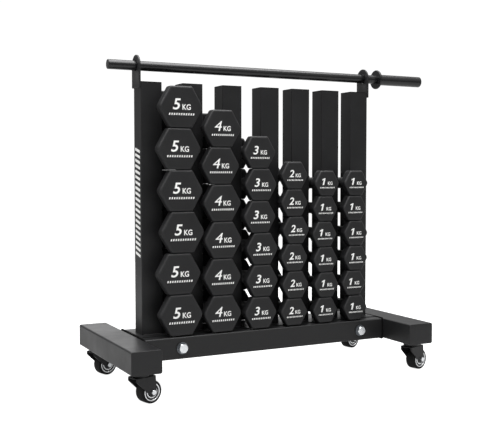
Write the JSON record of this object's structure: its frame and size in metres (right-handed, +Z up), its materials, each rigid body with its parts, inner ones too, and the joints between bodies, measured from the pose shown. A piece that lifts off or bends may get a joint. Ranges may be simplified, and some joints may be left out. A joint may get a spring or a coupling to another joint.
{
  "type": "dumbbell rack",
  "caption": "Studio rack on casters: rectangular uprights on a box beam guide stacked hex dumbbells by their handles, under a bar that slides out to free them.",
  "frame": {"origin": "on the floor, under the middle of the whole object's outline", "axes": "+X along the cross beam towards the bar's sleeve, -Y the front with the weight numbers, +Z up"},
  "size_m": [0.8684, 0.37, 0.747],
  "materials": {
    "frame_paint": "satin black powder coat with a fine texture",
    "black_plastic": "moulded matt black",
    "zinc_steel": "bright zinc plate",
    "bar_paint": "smooth satin black enamel",
    "dumbbell_coat": "matt black dipped rubber coat over iron",
    "fork_steel": "black electro-coated pressed steel",
    "tyre": "moulded black rubber",
    "bright_rim": "bright plated pressed rings"
  },
  "bodies": {
    "frame": {"foot_tube_left": "frame_paint", "foot_tube_right": "frame_paint", "foot_spigot_left": "frame_paint", "foot_spigot_right": "frame_paint", "foot_end_caps": "black_plastic", "cross_beam": "frame_paint", "beam_end_collars": "black_plastic", "upright_base_plate": "frame_paint", "frame_bolts": "zinc_steel", "frame_washers": "zinc_steel", "frame_nuts": "zinc_steel", "upright_1": "frame_paint", "upright_2": "frame_paint", "upright_3": "frame_paint", "upright_4": "frame_paint", "upright_5": "frame_paint", "upright_6": "frame_paint", "upright_7": "frame_paint", "upright_caps": "black_plastic", "bar_bracket_left": "frame_paint", "bar_bracket_right": "frame_paint", "caster_stems": "zinc_steel", "caster_stem_nuts": "zinc_steel"},
    "bar": {"bar_shaft": "bar_paint", "bar_flange": "bar_paint", "bar_sleeve_cap": "bar_paint"},
    "sleeve": {"bar_sleeve": "bar_paint"},
    "stack_5kg": {"dumbbells_5kg_lower": "dumbbell_coat"},
    "top_5kg": {"dumbbell_5kg_top": "dumbbell_coat"},
    "stack_4kg": {"dumbbells_4kg_lower": "dumbbell_coat"},
    "top_4kg": {"dumbbell_4kg_top": "dumbbell_coat"},
    "stack_3kg": {"dumbbells_3kg_lower": "dumbbell_coat"},
    "top_3kg": {"dumbbell_3kg_top": "dumbbell_coat"},
    "stack_2kg": {"dumbbells_2kg_lower": "dumbbell_coat"},
    "top_2kg": {"dumbbell_2kg_top": "dumbbell_coat"},
    "stack_1kg_inner": {"dumbbells_1kg_inner_lower": "dumbbell_coat"},
    "top_1kg_inner": {"dumbbell_1kg_inner_top": "dumbbell_coat"},
    "stack_1kg_outer": {"dumbbells_1kg_outer_lower": "dumbbell_coat"},
    "top_1kg_outer": {"dumbbell_1kg_outer_top": "dumbbell_coat"},
    "caster_front_left": {"caster_fork_front_left": "fork_steel", "caster_axle_front_left": "zinc_steel"},
    "wheel_front_left": {"caster_tyre_front_left": "tyre", "caster_rim_front_left": "bright_rim"},
    "caster_back_left": {"caster_fork_back_left": "fork_steel", "caster_axle_back_left": "zinc_steel"},
    "wheel_back_left": {"caster_tyre_back_left": "tyre", "caster_rim_back_left": "bright_rim"},
    "caster_front_right": {"caster_fork_front_right": "fork_steel", "caster_axle_front_right": "zinc_steel"},
    "wheel_front_right": {"caster_tyre_front_right": "tyre", "caster_rim_front_right": "bright_rim"},
    "caster_back_right": {"caster_fork_back_right": "fork_steel", "caster_axle_back_right": "zinc_steel"},
    "wheel_back_right": {"caster_tyre_back_right": "tyre", "caster_rim_back_right": "bright_rim"}
  },
  "joints": [
    {"name": "bar_slide", "type": "slide", "parent": "frame", "child": "bar", "axis": [1, 0, 0], "range_m": [0, 0.69]},
    {"name": "sleeve_spin", "type": "hinge", "parent": "bar", "child": "sleeve", "pos_m": [0.36675, 0, 0.723], "axis": [1, 0, 0], "continuous": true},
    {"name": "lift_lower_5kg", "type": "slide", "parent": "frame", "child": "stack_5kg", "axis": [0, 0, 1], "range_m": [0, 0.031]},
    {"name": "lift_top_5kg", "type": "slide", "parent": "stack_5kg", "child": "top_5kg", "axis": [0, 0, 1], "range_m": [0, 0.031]},
    {"name": "lift_lower_4kg", "type": "slide", "parent": "frame", "child": "stack_4kg", "axis": [0, 0, 1], "range_m": [0, 0.054]},
    {"name": "lift_top_4kg", "type": "slide", "parent": "stack_4kg", "child": "top_4kg", "axis": [0, 0, 1], "range_m": [0, 0.054]},
    {"name": "lift_lower_3kg", "type": "slide", "parent": "frame", "child": "stack_3kg", "axis": [0, 0, 1], "range_m": [0, 0.08]},
    {"name": "lift_top_3kg", "type": "slide", "parent": "stack_3kg", "child": "top_3kg", "axis": [0, 0, 1], "range_m": [0, 0.08]},
    {"name": "lift_lower_2kg", "type": "slide", "parent": "frame", "child": "stack_2kg", "axis": [0, 0, 1], "range_m": [0, 0.107]},
    {"name": "lift_top_2kg", "type": "slide", "parent": "stack_2kg", "child": "top_2kg", "axis": [0, 0, 1], "range_m": [0, 0.107]},
    {"name": "lift_lower_1kg_inner", "type": "slide", "parent": "frame", "child": "stack_1kg_inner", "axis": [0, 0, 1], "range_m": [0, 0.118]},
    {"name": "lift_top_1kg_inner", "type": "slide", "parent": "stack_1kg_inner", "child": "top_1kg_inner", "axis": [0, 0, 1], "range_m": [0, 0.118]},
    {"name": "lift_lower_1kg_outer", "type": "slide", "parent": "frame", "child": "stack_1kg_outer", "axis": [0, 0, 1], "range_m": [0, 0.118]},
    {"name": "lift_top_1kg_outer", "type": "slide", "parent": "stack_1kg_outer", "child": "top_1kg_outer", "axis": [0, 0, 1], "range_m": [0, 0.118]},
    {"name": "swivel_front_left", "type": "hinge", "parent": "frame", "child": "caster_front_left", "pos_m": [-0.40025, -0.147, 0.06], "axis": [0, 0, 1], "continuous": true},
    {"name": "wheel_spin_front_left", "type": "hinge", "parent": "caster_front_left", "child": "wheel_front_left", "pos_m": [-0.38093, -0.14182, 0.025], "axis": [-0.2588, 0.9659, 0], "continuous": true},
    {"name": "swivel_back_left", "type": "hinge", "parent": "frame", "child": "caster_back_left", "pos_m": [-0.40025, 0.147, 0.06], "axis": [0, 0, 1], "continuous": true},
    {"name": "wheel_spin_back_left", "type": "hinge", "parent": "caster_back_left", "child": "wheel_back_left", "pos_m": [-0.38093, 0.15218, 0.025], "axis": [-0.2588, 0.9659, 0], "continuous": true},
    {"name": "swivel_front_right", "type": "hinge", "parent": "frame", "child": "caster_front_right", "pos_m": [0.30375, -0.147, 0.06], "axis": [0, 0, 1], "continuous": true},
    {"name": "wheel_spin_front_right", "type": "hinge", "parent": "caster_front_right", "child": "wheel_front_right", "pos_m": [0.32307, -0.14182, 0.025], "axis": [-0.2588, 0.9659, 0], "continuous": true},
    {"name": "swivel_back_right", "type": "hinge", "parent": "frame", "child": "caster_back_right", "pos_m": [0.30375, 0.147, 0.06], "axis": [0, 0, 1], "continuous": true},
    {"name": "wheel_spin_back_right", "type": "hinge", "parent": "caster_back_right", "child": "wheel_back_right", "pos_m": [0.32307, 0.15218, 0.025], "axis": [-0.2588, 0.9659, 0], "continuous": true}
  ]
}
